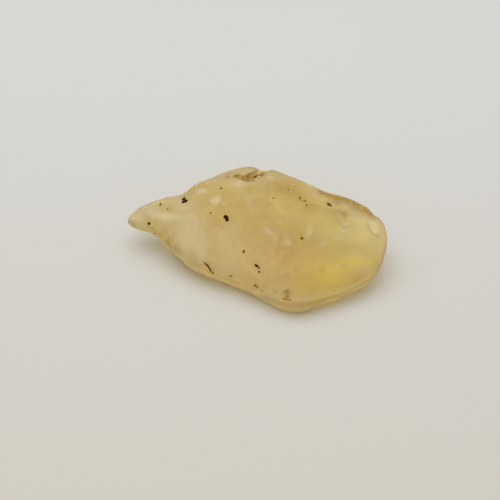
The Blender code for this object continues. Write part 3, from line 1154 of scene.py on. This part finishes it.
def worn_lump():
    """The lump, its pits with the tone of the dirt in each, and its cracks."""
    rings = shaped_rings()
    middle = middle_of(rings)
    rings = rings - middle
    bm = bmesh.new()
    bridge(bm, rings)
    bm.normal_update()
    tree = BVHTree.FromBMesh(bm)

    pits = []
    tones = []
    for marks, tone in ((BLACK_PITS, "black"), (BROWN_PITS, "brown")):
        for mark in marks:
            pits.append((*shown_by(tree, mark), mark.amount))
            tones.append(tone)
    for pit in HIDDEN_PITS:
        lay = nearest_to(tree, np.array(pit.place) - middle, pit.turn)
        pits.append((lay, pit.length, pit.width, pit.depth))
        tones.append("black")
    scars = [seen_at(tree, mark.pixel) for mark in CHIP_SCARS]
    dishes = [shown_by(tree, mark) for mark in DISHES]
    humps = [shown_by(tree, mark) for mark in HUMPS]

    refine(bm, [seen_at(tree, pixel).middle for pixel in FINE_PLACES], *FINE_SPLIT)
    refine(bm, [lay.middle for lay in scars], *SCAR_SPLIT)
    refine(bm, [pit[0].middle for pit in pits], *PIT_SPLIT)
    refine(bm, [lay.middle for lay in smooth_path(tree, CRACKS[0], SPLIT_STEPS)], *CRACK_SPLIT)

    points = np.array([vert.co for vert in bm.verts])
    for mark, lay in zip(CHIP_SCARS, scars):
        rim = mark.length * PIXEL / 2
        radius = (rim**2 + mark.amount**2) / (2 * mark.amount)
        centre = lay.middle + lay.out * (radius - mark.amount)
        points = strike(points, Flake(centre, (radius, radius, radius), SCAR_WEAR))
    for vert, point in zip(bm.verts, points):
        vert.co = point
    bm.normal_update()
    tree = BVHTree.FromBMesh(bm)
    paths = [(smooth_path(tree, crack, CRACK_STEPS), crack.width * PIXEL) for crack in CRACKS]

    facing = np.array([vert.normal for vert in bm.verts])
    points = points + swell(points, RIPPLES)[:, None] * facing
    for mark, (lay, length, width) in zip(HUMPS, humps):
        rise = mark.amount * np.exp(-(HUMP_FALL * share_across(points, lay, length, width) ** 2))
        points = points + rise[:, None] * lay.out
    for mark, (lay, length, width) in zip(DISHES, dishes):
        points = press_dish(points, lay, length, width, mark.amount)
    for pit in pits:
        points = press_pit(points, *pit)
    for lays, width in paths:
        near = distance_to_path(points, [lay.middle for lay in lays]) / width
        out = np.mean([lay.out for lay in lays], axis=0)
        points = points - (CRACK_DEPTH * (1 - step(*CRACK_WALL, near)))[:, None] * out

    # The clouds carry painted sheen and glow, the stain carries painted shade under the front edge, and
    # the painted glow has its own mask
    amounts = {
        "stain_and_shade": np.maximum(spotted(points, tree, STAINS), streaked(points, tree, BROWN_STREAKS)),
        "cloud_and_painted_light": np.maximum(spotted(points, tree, CLOUDS_AND_PAINTED_LIGHT), streaked(points, tree, PAINTED_EDGE_HIGHLIGHTS)),
        "dust": dusted(points, facing, middle),
        "painted_glow": spotted(points, tree, PAINTED_GLOW),
    }
    points[:, 2] = np.maximum(points[:, 2], 0.0)
    for vert, point in zip(bm.verts, points):
        vert.co = point * MM
    mesh = bpy.data.meshes.new("worn_lump")
    bm.to_mesh(mesh)
    bm.free()
    for name, amount in amounts.items():
        store(mesh, name, "FLOAT", amount)
    lump = grown(
        object_of("worn_lump", mesh), wind_dimples(),
        {
            "Spacing": DIMPLE_SPACING * MM, "Radius": DIMPLE_RADIUS * MM, "Depth": DIMPLE_DEPTH * MM,
            "Seed": DIMPLE_SEED, "Material": worn_silica_glass(),
        },
    )
    return lump, pits, tones, paths


def table():
    """The table top, wide enough to fill every view."""
    mesh = bpy.data.meshes.new("table_top")
    corners = ((-1, -1), (1, -1), (1, 1), (-1, 1))
    mesh.from_pydata(
        [(x * TABLE_REACH, y * TABLE_REACH, -FLOOR_GAP * MM) for x, y in corners], [], [(0, 1, 2, 3)]
    )
    mesh.materials.append(pale_table())
    return object_of("table_top", mesh)


def soft_light():
    """A bright pale room, and one wide lamp overhead, a little behind and to the left."""
    world = bpy.data.worlds.new("pale_room")
    world.use_nodes = True
    room = world.node_tree.nodes["Background"].inputs
    room["Color"].default_value = linear("F4F3F0")
    room["Strength"].default_value = ROOM_BRIGHTNESS
    bpy.context.scene.world = world
    lamp = bpy.data.lights.new("overhead_lamp", "AREA")
    lamp.shape = "SQUARE"
    lamp.size = LAMP_WIDTH
    lamp.energy = LAMP_POWER
    obj = object_of("overhead_lamp", lamp)
    obj.location = Vector(LAMP_PLACE)
    obj.rotation_euler = Vector(LAMP_PLACE).to_track_quat("Z", "Y").to_euler()


def camera():
    """The photograph's viewpoint."""
    data = bpy.data.cameras.new("viewpoint")
    data.lens = LENS
    data.sensor_width = SENSOR
    data.clip_start = 0.01
    obj = object_of("viewpoint", data)
    obj.location = CAMERA_PLACE * MM
    obj.rotation_euler = (math.pi / 2 - TILT, 0, 0)
    bpy.context.scene.camera = obj


lump, pits, tones, paths = worn_lump()
black = desert_dirt("dry_black_dirt", "46280C", "261202")
brown = desert_dirt("dry_brown_dirt", "885A1C", "54360C")
dirt = [
    dirt_in_pits("black_pit_dirt", [p for p, t in zip(pits, tones) if t == "black"], black),
    dirt_in_pits("brown_pit_dirt", [p for p, t in zip(pits, tones) if t == "brown"], brown),
    dirt_in_cracks("hairline_dirt", paths[:1], black),
    dirt_in_cracks("chip_dirt", paths[1:], brown),
]
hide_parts(NODE)
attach(lump, "root")
for piece in dirt:
    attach(piece, "root")
table()
soft_light()
camera()
bpy.context.scene.view_settings.view_transform = "Standard"
